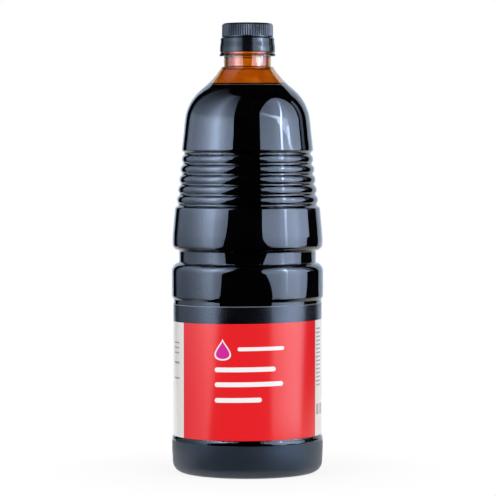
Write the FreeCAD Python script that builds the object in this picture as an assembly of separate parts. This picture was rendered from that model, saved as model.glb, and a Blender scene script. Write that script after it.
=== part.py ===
# Blow-moulded clear bottle of dark sauce with a wrap-around film label, a smooth snap-on
# pouring collar and a ribbed screw cap. Millimetres, +Z up. The origin is the centre of the
# ring the bottle stands on, and the label's front faces -Y.
import FreeCAD
import Part
import math
import os

Vector = FreeCAD.Vector

# The most of a straight side that its two roundings may take up, and the least length counted
SIDE_SHARE = 0.98
TINY = 1e-6

# Heights of the zones of the body, from the standing ring up
BASE_BAND_HEIGHT = 24.6
PANEL_HEIGHT = 92.1
LOWER_BAND_HEIGHT = 24.9
WAIST_HEIGHT = 7.8
UPPER_BAND_HEIGHT = 30.95
RIB_COUNT = 5
RIB_PITCH = 6.84
SHOULDER_WALL_HEIGHT = 35.3
SHOULDER_CONE_HEIGHT = 14.8
FLARE_HEIGHT = 7.95

# Radii of the body, and how far each wall leans in over its height
BASE_RADIUS = 50.9
BASE_DRAFT = 0.8
BASE_DRAFT_HEIGHT = 16.0
PANEL_RADIUS = 49.85
LOWER_BAND_RADIUS = 51.1
WAIST_RADIUS = 46.15
UPPER_BAND_RADIUS = 50.6
UPPER_BAND_STRAIGHT = 9.5
UPPER_BAND_DRAFT = 1.75
LOWEST_RIB_RADIUS = 47.45
RIB_STEP_IN = 0.82
SHOULDER_RADIUS = 44.3
SHOULDER_DRAFT = 3.55
FLARE_RADIUS = 22.75

# Edges and roundings of the body: how high each sloping edge is, then its radii
BASE_TOP_EDGE = 1.2
LOWER_BAND_FOOT_EDGE = 1.7
LOWER_BAND_TOP_EDGE = 1.75
UPPER_BAND_FOOT_EDGE = 1.1
UPPER_BAND_TOP_EDGE = 2.2
SHOULDER_FOOT_EDGE = 2.2
HEEL_FILLET = 7.3
DRAFT_FILLET = 20.0
BASE_TOP_FILLET = 2.4
PANEL_EDGE_FILLET = 0.8
LOWER_BAND_FOOT_FILLET = 3.4
LOWER_BAND_TOP_FILLET = 6.5
WAIST_FILLET = 0.6
UPPER_BAND_FOOT_FILLET = 4.4
UPPER_BAND_TOP_FILLET = 1.8
RIB_FLANK_DEG = 39.0
RIB_CREST_FILLET = 4.2
RIB_ROOT_FILLET = 1.1
SHOULDER_FOOT_FILLET = 1.2
SHOULDER_FILLET = 30.5
FLARE_FILLET = 52.0

# Pushed-up base with radial ribs
PUSH_UP_HEIGHT = 9.0
PUSH_UP_CENTRE_RADIUS = 8.0
PUSH_UP_FILLET = 22.0
STANDING_RING_INNER_RADIUS = 40.0
STANDING_RING_FILLET = 1.6
BASE_RIB_COUNT = 12
BASE_RIB_WIDTH = 3.0
BASE_RIB_DEPTH = 1.2
BASE_RIB_INNER_RADIUS = 11.0
BASE_RIB_OUTER_RADIUS = 36.0

# Wall thicknesses, from the heavy base through the thin sides to the thick flare
BASE_WALL = 1.4
BODY_WALL = 0.6
BEND_WALL = 1.1
CONE_WALL = 1.5
FLARE_WALL = 1.8
LEAST_INNER_FILLET = 0.3

# Neck, support ring and the finish that the collar snaps over
BORE_RADIUS = 13.4
BORE_FILLET = 5.0
NECK_WALL = 2.45
NECK_LEDGE = 1.6
NECK_LEDGE_HEIGHT = 0.5
NECK_HEIGHT = 7.25
RING_WIDTH = 2.95
RING_THICKNESS = 2.5
RING_EDGE = 1.3
RING_BEVEL = 0.6
FINISH_WALL = 1.9
FINISH_HEIGHT = 8.6
BEAD_WIDTH = 0.7
BEAD_HEIGHT = 1.6
BEAD_BELOW_MOUTH = 2.2
LIP_FILLET = 0.4
SMALL_FILLET = 0.2

# Contents and label
SAUCE_BELOW_RING = 19.9
LABEL_THICKNESS = 0.15
LABEL_FOOT_GAP = 0.9
LABEL_HEIGHT = 88.6

# Pouring collar
FIT_CLEARANCE = 0.15
COLLAR_LIFT = 0.2
COLLAR_WALL = 2.5
COLLAR_FOOT_BAND = 5.0
COLLAR_STEP_IN = 0.57
COLLAR_STEP_HEIGHT = 1.5
COLLAR_STEP_FILLET = 2.0
COLLAR_CHAMFER = 0.7
DECK_THICKNESS = 1.55
SPOUT_STEP_IN = 0.4
SPOUT_WALL = 1.7
SPOUT_HEIGHT = 5.6
SPOUT_LIP_FILLET = 0.6

# Screw cap
CAP_HEIGHT = 9.65
CAP_WALL = 2.31
CAP_SEAT_GAP = 0.15
CAP_THREAD_CLEARANCE = 0.35
CAP_TOP_THICKNESS = 1.5
CAP_CROWN = 0.35
CAP_EDGE_FILLET = 0.6
CAP_RIM_HEIGHT = 1.0
CAP_RIM_INSET = 0.3
CAP_FOOT_HEIGHT = 0.9
KNURL_COUNT = 72
KNURL_DEPTH = 0.42

# Radii that follow from the bore through the neck, from the inside out
neck_radius = BORE_RADIUS + NECK_WALL
ring_radius = neck_radius + RING_WIDTH
finish_radius = BORE_RADIUS + FINISH_WALL
bead_radius = finish_radius + BEAD_WIDTH
collar_bore = finish_radius + FIT_CLEARANCE
collar_bead_bore = bead_radius + FIT_CLEARANCE
collar_foot_radius = collar_bead_bore + COLLAR_WALL
collar_top_radius = collar_foot_radius - COLLAR_STEP_IN
spout_bore = BORE_RADIUS - SPOUT_STEP_IN
spout_radius = spout_bore + SPOUT_WALL
cap_bore = spout_radius + CAP_THREAD_CLEARANCE
cap_radius = cap_bore + CAP_WALL

# Levels that follow from the sizes above
panel_foot = BASE_BAND_HEIGHT
lower_band_foot = panel_foot + PANEL_HEIGHT
waist_foot = lower_band_foot + LOWER_BAND_HEIGHT
upper_band_foot = waist_foot + WAIST_HEIGHT
ribs_foot = upper_band_foot + UPPER_BAND_HEIGHT
ribs_top = ribs_foot + RIB_COUNT * RIB_PITCH
shoulder_bend = ribs_top + SHOULDER_WALL_HEIGHT
cone_top = shoulder_bend + SHOULDER_CONE_HEIGHT
neck_foot = cone_top + FLARE_HEIGHT
ring_foot = neck_foot + NECK_HEIGHT
ring_top = ring_foot + RING_THICKNESS
mouth = ring_top + FINISH_HEIGHT
bead_top = mouth - BEAD_BELOW_MOUTH
sauce_level = ring_foot - SAUCE_BELOW_RING
deck_top = mouth + DECK_THICKNESS
cap_foot = deck_top + CAP_SEAT_GAP


def tangent_lengths(corners):
    """How far each corner's rounding reaches along its sides, kept within those sides."""
    reach = [0.0] * len(corners)
    for i in range(1, len(corners) - 1):
        (r0, z0), (r1, z1), (r2, z2) = (corner[:2] for corner in corners[i - 1:i + 2])
        turn = math.atan2(z2 - z1, r2 - r1) - math.atan2(z1 - z0, r1 - r0)
        turn = (turn + math.pi) % (2.0 * math.pi) - math.pi
        reach[i] = corners[i][2] * math.tan(abs(turn) / 2.0)
    limited = list(reach)
    for i in range(len(corners) - 1):
        side = math.dist(corners[i][:2], corners[i + 1][:2])
        wanted = reach[i] + reach[i + 1]
        if wanted > SIDE_SHARE * side:
            for k in (i, i + 1):
                limited[k] = min(limited[k], reach[k] * SIDE_SHARE * side / wanted)
    return limited


def rounded_edges(corners):
    """Lines and tangent arcs in the XZ plane through (radius, height, rounding) corners."""
    reach = tangent_lengths(corners)
    edges = []
    points = [Vector(radius, 0, height) for radius, height, _ in corners]
    last = points[0]
    for i in range(1, len(points) - 1):
        back = (points[i - 1] - points[i]).normalize()
        ahead = (points[i + 1] - points[i]).normalize()
        if reach[i] < TINY:
            edges.append(Part.LineSegment(last, points[i]).toShape())
            last = points[i]
            continue
        start = points[i] + back * reach[i]
        end = points[i] + ahead * reach[i]
        middle = (back + ahead).normalize()
        half_angle = back.getAngle(ahead) / 2.0
        radius = reach[i] * math.tan(half_angle)
        crown = points[i] + middle * (radius / math.sin(half_angle) - radius)
        if last.distanceToPoint(start) > TINY:
            edges.append(Part.LineSegment(last, start).toShape())
        edges.append(Part.Arc(start, crown, end).toShape())
        last = end
    edges.append(Part.LineSegment(last, points[-1]).toShape())
    return edges


def revolved(corners):
    """Solid of revolution about Z of the closed outline through the corners."""
    edges = rounded_edges(corners)
    ends = [Vector(corners[-1][0], 0, corners[-1][1]), Vector(corners[0][0], 0, corners[0][1])]
    if ends[0].distanceToPoint(ends[1]) > TINY:
        edges.append(Part.LineSegment(*ends).toShape())
    face = Part.Face(Part.Wire(edges))
    return face.revolve(Vector(0, 0, 0), Vector(0, 0, 1), 360)


def inset(corners, walls):
    """The same outline moved inwards by the wall named at each corner, negative to move out."""
    points = [Vector(radius, 0, height) for radius, height, _ in corners]
    sides = [(ahead - point).normalize() for point, ahead in zip(points, points[1:])]
    moved = []
    for i, (point, wall) in enumerate(zip(points, walls)):
        before = sides[max(i - 1, 0)]
        after = sides[min(i, len(sides) - 1)]
        square = Vector(-before.z, 0, before.x)
        inward = (square + Vector(-after.z, 0, after.x)).normalize()
        place = point + inward * (wall / inward.dot(square))
        rounding = corners[i][2]
        if rounding > 0.0:
            hollow = math.copysign(1.0, before.z * after.x - before.x * after.z)
            rounding = max(rounding + hollow * wall, LEAST_INNER_FILLET)
        moved.append((place.x, place.z, rounding))
    return moved


def rib_corners():
    """Corners of the stacked gripping ribs: a root, then a crest and a root for each rib."""
    flank = math.radians(RIB_FLANK_DEG)
    crest_gain = RIB_CREST_FILLET * (1.0 / math.cos(flank) - 1.0)
    rise = RIB_PITCH / 2.0 * math.tan(flank)
    corners = []
    for i in range(RIB_COUNT):
        crest = LOWEST_RIB_RADIUS - i * RIB_STEP_IN + crest_gain
        root = crest - rise + RIB_STEP_IN / 2.0
        foot = ribs_foot + i * RIB_PITCH
        corners.append((root, foot, RIB_ROOT_FILLET))
        corners.append((crest, foot + RIB_PITCH / 2.0, RIB_CREST_FILLET))
    last_root = corners[-2][0] - RIB_STEP_IN
    corners.append((last_root, ribs_top, RIB_ROOT_FILLET))
    return corners


def body_corners():
    """Corners of the body's outside, from the middle of the base to the neck, and their walls."""
    base = [
        (0.0, PUSH_UP_HEIGHT, 0.0),
        (PUSH_UP_CENTRE_RADIUS, PUSH_UP_HEIGHT, PUSH_UP_FILLET),
        (STANDING_RING_INNER_RADIUS, 0.0, STANDING_RING_FILLET),
        (BASE_RADIUS - BASE_DRAFT, 0.0, HEEL_FILLET),
    ]
    side = [
        (BASE_RADIUS, BASE_DRAFT_HEIGHT, DRAFT_FILLET),
        (BASE_RADIUS, panel_foot - BASE_TOP_EDGE / 2.0, BASE_TOP_FILLET),
        (PANEL_RADIUS, panel_foot + BASE_TOP_EDGE / 2.0, PANEL_EDGE_FILLET),
        (PANEL_RADIUS, lower_band_foot, PANEL_EDGE_FILLET),
        (LOWER_BAND_RADIUS, lower_band_foot + LOWER_BAND_FOOT_EDGE, LOWER_BAND_FOOT_FILLET),
        (LOWER_BAND_RADIUS, waist_foot - LOWER_BAND_TOP_EDGE, LOWER_BAND_TOP_FILLET),
        (WAIST_RADIUS, waist_foot, WAIST_FILLET),
        (WAIST_RADIUS, upper_band_foot, WAIST_FILLET),
        (UPPER_BAND_RADIUS, upper_band_foot + UPPER_BAND_FOOT_EDGE, UPPER_BAND_FOOT_FILLET),
        (UPPER_BAND_RADIUS, upper_band_foot + UPPER_BAND_STRAIGHT, DRAFT_FILLET),
        (UPPER_BAND_RADIUS - UPPER_BAND_DRAFT, ribs_foot - UPPER_BAND_TOP_EDGE, UPPER_BAND_TOP_FILLET),
    ]
    ribs = rib_corners()
    shoulder = [
        (SHOULDER_RADIUS, ribs_top + SHOULDER_FOOT_EDGE, SHOULDER_FOOT_FILLET),
        (SHOULDER_RADIUS - SHOULDER_DRAFT, shoulder_bend, SHOULDER_FILLET),
        (FLARE_RADIUS, cone_top, FLARE_FILLET),
        (neck_radius + NECK_LEDGE, neck_foot, 0.0),
    ]
    corners = base + side + ribs + shoulder
    walls = [BASE_WALL] * len(base) + [BODY_WALL] * (len(side) + len(ribs))
    walls += [BODY_WALL, BEND_WALL, CONE_WALL, FLARE_WALL]
    return corners, walls


def neck_corners():
    """Corners of the neck's outside: ledge, plain neck, support ring, finish and mouth."""
    return [
        (neck_radius, neck_foot + NECK_LEDGE_HEIGHT, SMALL_FILLET),
        (neck_radius, ring_foot, LIP_FILLET),
        (ring_radius, ring_foot, SMALL_FILLET),
        (ring_radius, ring_foot + RING_EDGE, SMALL_FILLET),
        (ring_radius - RING_BEVEL, ring_top, SMALL_FILLET),
        (finish_radius, ring_top, SMALL_FILLET),
        (finish_radius, bead_top - BEAD_HEIGHT, 0.0),
        (bead_radius, bead_top - BEAD_HEIGHT, SMALL_FILLET),
        (finish_radius, bead_top, SMALL_FILLET),
        (finish_radius, mouth, LIP_FILLET),
    ]


def inner_corners():
    """Corners of the bottle's inside, from the middle of the base to the mouth."""
    inner = inset(*body_corners())
    (cone_radius, cone_height, _), (flare_radius, flare_height, _) = inner[-2:]
    slope = (flare_height - cone_height) / (flare_radius - cone_radius)
    bore_foot = flare_height + (BORE_RADIUS - flare_radius) * slope
    return inner[:-1] + [(BORE_RADIUS, bore_foot, BORE_FILLET), (BORE_RADIUS, mouth, 0.0)]


def base_ribs():
    """Radial stiffening ribs under the pushed-up base, reaching into its wall."""
    underside = body_corners()[0][:4]
    low = inset(underside, [-BASE_RIB_DEPTH] * len(underside))
    high = inset(underside, [BASE_WALL / 2.0] * len(underside))
    layer = revolved(low + high[::-1])
    length = BASE_RIB_OUTER_RADIUS - BASE_RIB_INNER_RADIUS
    place = Vector(BASE_RIB_INNER_RADIUS, -BASE_RIB_WIDTH / 2.0, 0)
    bar = Part.makeBox(length, BASE_RIB_WIDTH, PUSH_UP_HEIGHT + BASE_WALL, place)
    rib = layer.common(bar)
    ribs = []
    for i in range(BASE_RIB_COUNT):
        turned = rib.copy()
        turned.rotate(Vector(0, 0, 0), Vector(0, 0, 1), 360.0 * i / BASE_RIB_COUNT)
        ribs.append(turned)
    return ribs


def make_bottle():
    """The clear shell: one revolved wall with its base ribs."""
    outer = body_corners()[0] + neck_corners()
    inner = inner_corners()
    shell = revolved(outer + inner[::-1])
    return shell.fuse(base_ribs())


def make_sauce():
    """The sauce, filling the inside up to its level."""
    inside = revolved(inner_corners() + [(0.0, mouth, 0.0)])
    reach = 2.0 * LOWER_BAND_RADIUS
    below = Part.makeBox(2 * reach, 2 * reach, sauce_level, Vector(-reach, -reach, 0))
    return inside.common(below)


def make_label():
    """The film label, wrapped right round the panel."""
    foot = panel_foot + LABEL_FOOT_GAP
    top = foot + LABEL_HEIGHT
    outer = PANEL_RADIUS + LABEL_THICKNESS
    return revolved([
        (PANEL_RADIUS, foot, 0.0),
        (outer, foot, 0.0),
        (outer, top, 0.0),
        (PANEL_RADIUS, top, 0.0),
    ])


def make_collar():
    """The smooth pouring collar: a skirt snapped over the bead, a deck and an open spout."""
    foot = ring_top + COLLAR_LIFT
    step_foot = foot + COLLAR_FOOT_BAND
    groove_foot = bead_top - BEAD_HEIGHT - FIT_CLEARANCE
    return revolved([
        (spout_bore, mouth, 0.0),
        (collar_bore, mouth, 0.0),
        (collar_bore, bead_top + FIT_CLEARANCE, 0.0),
        (collar_bead_bore, groove_foot, 0.0),
        (collar_bore, groove_foot, 0.0),
        (collar_bore, foot, SMALL_FILLET),
        (collar_foot_radius, foot, SMALL_FILLET),
        (collar_foot_radius, step_foot, COLLAR_STEP_FILLET),
        (collar_top_radius, step_foot + COLLAR_STEP_HEIGHT, COLLAR_STEP_FILLET),
        (collar_top_radius, deck_top - COLLAR_CHAMFER, LIP_FILLET),
        (collar_top_radius - COLLAR_CHAMFER, deck_top, SMALL_FILLET),
        (spout_radius, deck_top, SMALL_FILLET),
        (spout_radius, deck_top + SPOUT_HEIGHT, SPOUT_LIP_FILLET),
        (spout_bore, deck_top + SPOUT_HEIGHT, SPOUT_LIP_FILLET),
        (spout_bore, mouth, 0.0),
    ])


def knurled_ring(foot, height, bore):
    """A ring whose outside is a row of fine half-round ribs, as wide as the cap."""
    root = cap_radius - KNURL_DEPTH
    step = 2.0 * math.pi / KNURL_COUNT
    edges = []
    for i in range(KNURL_COUNT):
        places = ((root, i), (cap_radius, i + 0.5), (root, i + 1))
        points = [Vector(r * math.cos(k * step), r * math.sin(k * step), foot) for r, k in places]
        edges.append(Part.Arc(*points).toShape())
    prism = Part.Face(Part.Wire(edges)).extrude(Vector(0, 0, height))
    return prism.cut(Part.makeCylinder(bore, height, Vector(0, 0, foot)))


def make_cap():
    """The screw cap: a cup with a knurled side between a smooth foot and a rounded rim."""
    top = cap_foot + CAP_HEIGHT
    ceiling = top - CAP_CROWN - CAP_TOP_THICKNESS
    root = cap_radius - KNURL_DEPTH
    rim = cap_radius - CAP_RIM_INSET
    cup = revolved([
        (0.0, ceiling, 0.0),
        (cap_bore, ceiling, CAP_EDGE_FILLET),
        (cap_bore, cap_foot, SMALL_FILLET),
        (root, cap_foot, SMALL_FILLET),
        (root, top - CAP_RIM_HEIGHT, 0.0),
        (rim, top - CAP_RIM_HEIGHT, SMALL_FILLET),
        (rim, top - CAP_CROWN, CAP_EDGE_FILLET),
        (0.0, top, 0.0),
    ])
    grip_height = CAP_HEIGHT - CAP_FOOT_HEIGHT - CAP_RIM_HEIGHT
    grip = knurled_ring(cap_foot + CAP_FOOT_HEIGHT, grip_height, (cap_bore + root) / 2.0)
    return cup.fuse(grip)


def main():
    os.makedirs("parts", exist_ok=True)
    nodes = {
        "bottle": make_bottle(),
        "sauce": make_sauce(),
        "label": make_label(),
        "collar": make_collar(),
        "cap": make_cap(),
    }
    for name, shape in nodes.items():
        solid = shape.removeSplitter()
        solid.exportStep("parts/" + name + ".step")
        print(name, solid.isValid(), len(solid.Solids), round(solid.Volume / 1000.0, 2), "cm3")
    print("height", round(cap_foot + CAP_HEIGHT, 2), "sauce level", round(sauce_level, 2))


main()
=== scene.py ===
import math

import bmesh
import bpy
from bpy.props import FloatProperty, FloatVectorProperty, IntProperty, PointerProperty
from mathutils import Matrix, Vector


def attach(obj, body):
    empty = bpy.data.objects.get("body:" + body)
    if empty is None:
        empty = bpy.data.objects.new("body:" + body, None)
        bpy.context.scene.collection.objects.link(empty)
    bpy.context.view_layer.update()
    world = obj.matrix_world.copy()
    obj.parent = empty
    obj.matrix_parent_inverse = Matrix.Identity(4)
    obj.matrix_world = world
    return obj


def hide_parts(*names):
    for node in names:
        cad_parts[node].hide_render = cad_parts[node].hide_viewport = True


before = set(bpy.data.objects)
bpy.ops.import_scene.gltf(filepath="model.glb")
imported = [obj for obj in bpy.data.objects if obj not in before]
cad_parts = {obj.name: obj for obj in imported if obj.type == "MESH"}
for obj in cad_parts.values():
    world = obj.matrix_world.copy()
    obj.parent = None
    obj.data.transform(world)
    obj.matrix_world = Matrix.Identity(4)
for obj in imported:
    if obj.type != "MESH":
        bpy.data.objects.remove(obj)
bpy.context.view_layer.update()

bl_info = {
    "name": "Sauce Bottle",
    "version": (1, 0, 0),
    "blender": (4, 5, 0),
    "location": "3D View > Sidebar > Sauce Bottle",
    "description": "Builds a clear ribbed bottle of dark sauce with a film label, collar and screw cap",
    "category": "Object",
}

MM = 0.001
BODY = "root"
AXIS = (0.0, 0.0, 1.0)
AROUND = 144  # steps round the axis of the shell, the sauce and its film
LABEL_AROUND, HIGHLIGHT_RING_AROUND, COLLAR_AROUND = 240, 180, 192
ARC_STEP = math.radians(7.5)  # turn of one step of a rounding in an outline
SHARP_EDGE = math.radians(35)
SAME_PLACE, CUT_DISTANCE, MERGE_DISTANCE = 1e-8, 1e-7, 2e-6
SIDE_USED = 0.98  # most of a side that the roundings at its ends may take

# Heights and radii in millimetres.
GRIP_FOOT = 180.35  # foot of the lowest grip rib
GRIP_LEAN = 0.82  # how much each grip rib stands in from the one below
GRIP_ROUNDING = 4.2  # rounding of a grip rib's crest
GRIP_FLANK = math.radians(39)
BASE_WALL = 1.4
FROST_TOP, FROST_RADIUS = 22.2, 39.5  # the satin finish lies below and outside these
NECK_FOOT = 272.6
RING_RADIUS = 18.8
RING_SHADE = (280.4, 281.4)  # heights between which the support ring's rim looks dark
FINISH_RADIUS = 15.3
MOUTH = 290.95
SMALLEST_ROUNDING = 0.3
CAP_RIBS_FOOT, CAP_RIBS_TOP = 293.55, 300.85
CAP_WALL_INSIDE = 16.5  # the grooves are cut in what stands outside this radius
CAP_GROOVE = (0.0, 0.0, 0.0, 0.26, 0.34, 0.26)  # depth at each step from one groove to the next

# Smaller features, in metres.
BASE_RIB_TURN = 30  # degrees from rib to rib
BASE_RIB_START, BASE_RIB_END = 0.0105, 0.0365
BASE_RIB_HALF, BASE_RIB_EDGE, BASE_RIB_RUNOUT, BASE_RIB_DEPTH = 0.0021, 0.0008, 0.0015, 0.0012
BASE_HOLLOW_TOP = 0.012
SAUCE_EDGE = ((0.0006, 0.0007), (0.0014, 0.0003), (0.0028, 0.0001), (0.0045, 0.0))  # (inwards, above the level)
SAUCE_CLIMB = 0.0011
FILM_FOOT, FILM_TOP, FILM_THICKNESS = 0.0006, 0.2895, 0.00016  # its foot is above the sauce's level
# size of the tan ring at the sauce's edge, a painted highlight
HIGHLIGHT_RING_RADIUS, HIGHLIGHT_RING_HALF_CUT = 0.00032, 0.0002
# CUT_EDGE: height of the film's top band, which is painted light grey as a highlight
LABEL_SUNK, LABEL_THICKNESS, CUT_EDGE = 0.00004, 0.00015, 0.0004
LABEL_SLANT, SLANT_LOST = 0.021, 0.006  # slant of the label's foot, and how much less its top has

# Print on the label, in millimetres from the middle of its front and above the base.
PRINT_LEFT, PRINT_RIGHT, PRINT_SOFT = -50.7, 56.4, 0.1
SMALL_BARS = [  # (across, up, half its length, half its height)
    (-62.5, 89.1, 5.5, 0.45), (-62.5, 85.8, 5.2, 0.45), (-62.5, 82.4, 5.3, 0.45),
    (-62.5, 75.8, 5.6, 0.7), (-62.5, 65.5, 5.6, 0.55),
]
SMALL_BARS += [(62.4 - 0.4 * (i % 3 == 1), 97.0 - 2.7 * i, 4.3 + 0.4 * (i % 3 == 1) * (i % 2), 0.5) for i in range(15)]
SMALL_BARS += [(60.6, 42.9, 2.2, 3.6), (69.0, 42.9, 4.0, 3.6)]
FRONT_BARS = [  # (left end, right end, up, half its height)
    (-6.5, 25.2, 86.2, 1.25), (-22.3, 19.0, 72.7, 1.55), (-22.3, 24.4, 62.9, 1.55), (-22.3, 9.5, 52.6, 1.55),
]
DROP_ACROSS, DROP_UP, DROP_SIZE, DROP_BORDER = -16.7, 86.2, 5.9, 1.0

# Studio, in metres and degrees.
COOL = (0.78, 0.97, 1.34)  # tint of the softboxes' light
CAMERA_PLACE, CAMERA_TILT, CAMERA_LENS = (0.00034, -1.737, 0.2113), 1.99, 187.0  # the lens is in millimetres
AMBIENT = 0.55  # level of the world's light on the object
# the lower glow under the bottle is painted shade, added to the real shadow the floor keeps
FLOOR_SHADE, SHADE_RADII = 0.88, (0.05, 0.16)  # brightness under the bottle, and where it fades out
LAMP_TARGET = (0.0, 0.0, 0.12)
LAMPS = (  # (name, azimuth, elevation, distance, size, power)
    ("left_fill", -50, 24, 1.6, 1.3, 12.8),
    ("right_fill", 50, 24, 1.6, 1.3, 12.8),
    ("top_fill", 0, 75, 1.5, 1.0, 4.0),
)
CARD_CELLS = 40
CARD_FOOT = 0.002
SIDE_RADIUS = 0.05  # radius of the bottle's side that a card is placed for
LEFT_DISTANCE, RIGHT_DISTANCE, CREASE_DISTANCE, FAR_DISTANCE = 0.16, 0.31, 0.3, 0.6

# Light of the cards: (azimuth, level) stops across and (height, level) stops up.
LEFT_ACROSS = [
    (-141, 0.0), (-131, 0.13), (-114, 0.19), (-99, 0.29), (-86, 0.44), (-74, 0.66),
    (-64, 0.92), (-58, 0.98), (-51, 0.74), (-43, 0.58), (-34, 0.42), (-24, 0.38),
]
LEFT_UP = [
    (0.0, 1.8), (0.04, 2.0), (0.09, 3.0), (0.142, 4.1), (0.185, 5.9), (0.235, 8.3),
    (0.26, 8.2), (0.283, 5.2), (0.316, 4.0), (0.36, 2.9), (0.45, 1.6), (0.65, 0.5),
]
RIGHT_ACROSS = [(22, 0.92), (46, 1.03), (56, 1.35), (70, 1.6), (80, 1.62), (90, 1.25), (104, 0.92), (110, 0.8)]
RIGHT_UP = [
    (0.0, 4.2), (0.015, 3.1), (0.03, 2.2), (0.06, 2.3), (0.095, 2.6), (0.13, 2.9),
    (0.17, 3.3), (0.2, 3.6), (0.276, 3.1), (0.37, 2.4), (0.45, 2.0), (0.7, 1.3),
]
UPRIGHT_UP = [(0.1, 1.0), (0.2, 4.0), (0.26, 12.0), (0.33, 16.0), (0.4, 9.0), (0.5, 3.0), (0.6, 0.0)]
SIDE_UP = [(0.24, 0.0), (0.255, 5.0), (0.28, 8.0), (0.29, 3.0)]
LEVEL_ACROSS = [(26, 1.5), (45, 3.0), (60, 8.0), (70, 5.0), (82, 1.5)]


# ---------------------------------------------------------------- settings


class SauceBottleSizes(bpy.types.PropertyGroup):
    base_radius: FloatProperty(
        name="Base radius", description="Radius of the base band", default=0.0509, unit="LENGTH",
    )
    panel_radius: FloatProperty(
        name="Panel radius", description="Radius of the wall under the label", default=0.04985, unit="LENGTH",
    )
    lower_band_radius: FloatProperty(
        name="Lower band radius", description="Radius of the band above the label", default=0.0511, unit="LENGTH",
    )
    waist_radius: FloatProperty(
        name="Waist radius", description="Radius of the groove between the bands", default=0.04615, unit="LENGTH",
    )
    upper_band_radius: FloatProperty(
        name="Upper band radius", description="Radius of the band under the ribs", default=0.0506, unit="LENGTH",
    )
    lowest_rib_radius: FloatProperty(
        name="Lowest rib radius", description="Radius of the crest of the lowest grip rib",
        default=0.04745, unit="LENGTH",
    )
    rib_pitch: FloatProperty(
        name="Rib pitch", description="Height of one grip rib", default=0.00684, unit="LENGTH",
    )
    rib_count: IntProperty(name="Ribs", description="Number of grip ribs", default=5, min=1, max=12)
    shoulder_radius: FloatProperty(
        name="Shoulder radius", description="Radius where the shoulder starts", default=0.0443, unit="LENGTH",
    )
    flare_radius: FloatProperty(
        name="Flare radius", description="Radius where the shoulder turns up into the neck",
        default=0.02275, unit="LENGTH",
    )
    neck_radius: FloatProperty(
        name="Neck radius", description="Radius of the plain neck", default=0.01585, unit="LENGTH",
    )
    bore_radius: FloatProperty(
        name="Bore radius", description="Radius of the hole through the neck", default=0.0134, unit="LENGTH",
    )
    body_wall: FloatProperty(
        name="Body wall", description="Thickness of the body's wall", default=0.0006, unit="LENGTH",
    )
    sauce_level: FloatProperty(
        name="Sauce level", description="Height of the sauce above the base", default=0.25995, unit="LENGTH",
    )
    label_foot: FloatProperty(
        name="Label foot", description="Height of the label's lower edge", default=0.0255, unit="LENGTH",
    )
    label_height: FloatProperty(
        name="Label height", description="Height of the film label", default=0.0886, unit="LENGTH",
    )
    print_foot: FloatProperty(
        name="Print foot", description="Height where the print starts", default=0.0257, unit="LENGTH",
    )
    print_top: FloatProperty(
        name="Print top", description="Height where the print ends", default=0.1028, unit="LENGTH",
    )
    cap_grooves: IntProperty(
        name="Cap grooves", description="Number of fine grooves round the cap", default=72, min=12, max=160,
    )


class SauceBottleColours(bpy.types.PropertyGroup):
    panel: FloatVectorProperty(
        name="Label front", description="Colour of the label's front field",
        subtype="COLOR", size=3, default=(0.76, 0.008, 0.015),
    )
    sides: FloatVectorProperty(
        name="Label sides", description="Colour of the label's pale sides",
        subtype="COLOR", size=3, default=(0.76, 0.745, 0.72),
    )
    mark: FloatVectorProperty(
        name="Mark", description="Colour of the drop on the label",
        subtype="COLOR", size=3, default=(0.62, 0.012, 0.3),
    )
    bars: FloatVectorProperty(
        name="Bars", description="Colour of the bars on the label's front",
        subtype="COLOR", size=3, default=(0.86, 0.84, 0.86),
    )
    sauce: FloatVectorProperty(
        name="Sauce", description="Colour of the sauce where it is deep",
        subtype="COLOR", size=3, default=(0.0015, 0.0006, 0.0006),
    )
    film: FloatVectorProperty(
        name="Sauce film", description="Colour of the sauce where it clings to the wall",
        subtype="COLOR", size=3, default=(0.8, 0.36, 0.04),
    )
    # colour of the tan ring at the sauce's edge: a painted highlight, not foam
    meniscus_highlight: FloatVectorProperty(
        name="Foam", description="Colour of the fine foam at the sauce's edge",
        subtype="COLOR", size=3, default=(0.3, 0.19, 0.1),
    )
    plastic: FloatVectorProperty(
        name="Cap and collar", description="Colour of the black plastic",
        subtype="COLOR", size=3, default=(0.0025, 0.003, 0.004),
    )


# ---------------------------------------------------------------- outlines


def reaches(corners):
    """How far each corner's rounding reaches along its sides, kept within those sides."""
    reach = [0.0] * len(corners)
    for i in range(1, len(corners) - 1):
        (r0, z0), (r1, z1), (r2, z2) = (c[:2] for c in corners[i - 1:i + 2])
        turn = math.atan2(z2 - z1, r2 - r1) - math.atan2(z1 - z0, r1 - r0)
        turn = (turn + math.pi) % (2 * math.pi) - math.pi
        reach[i] = corners[i][2] * math.tan(abs(turn) / 2)
    limited = list(reach)
    for i in range(len(corners) - 1):
        side = math.dist(corners[i][:2], corners[i + 1][:2])
        wanted = reach[i] + reach[i + 1]
        if wanted > SIDE_USED * side:
            for k in (i, i + 1):
                limited[k] = min(limited[k], reach[k] * SIDE_USED * side / wanted)
    return limited


def drawn_on(bm, vert, place):
    """Draws an edge from a vertex to a place and returns its new end."""
    new = bmesh.ops.extrude_vert_indiv(bm, verts=[vert])["verts"][0]
    new.co = place
    return new


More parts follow.
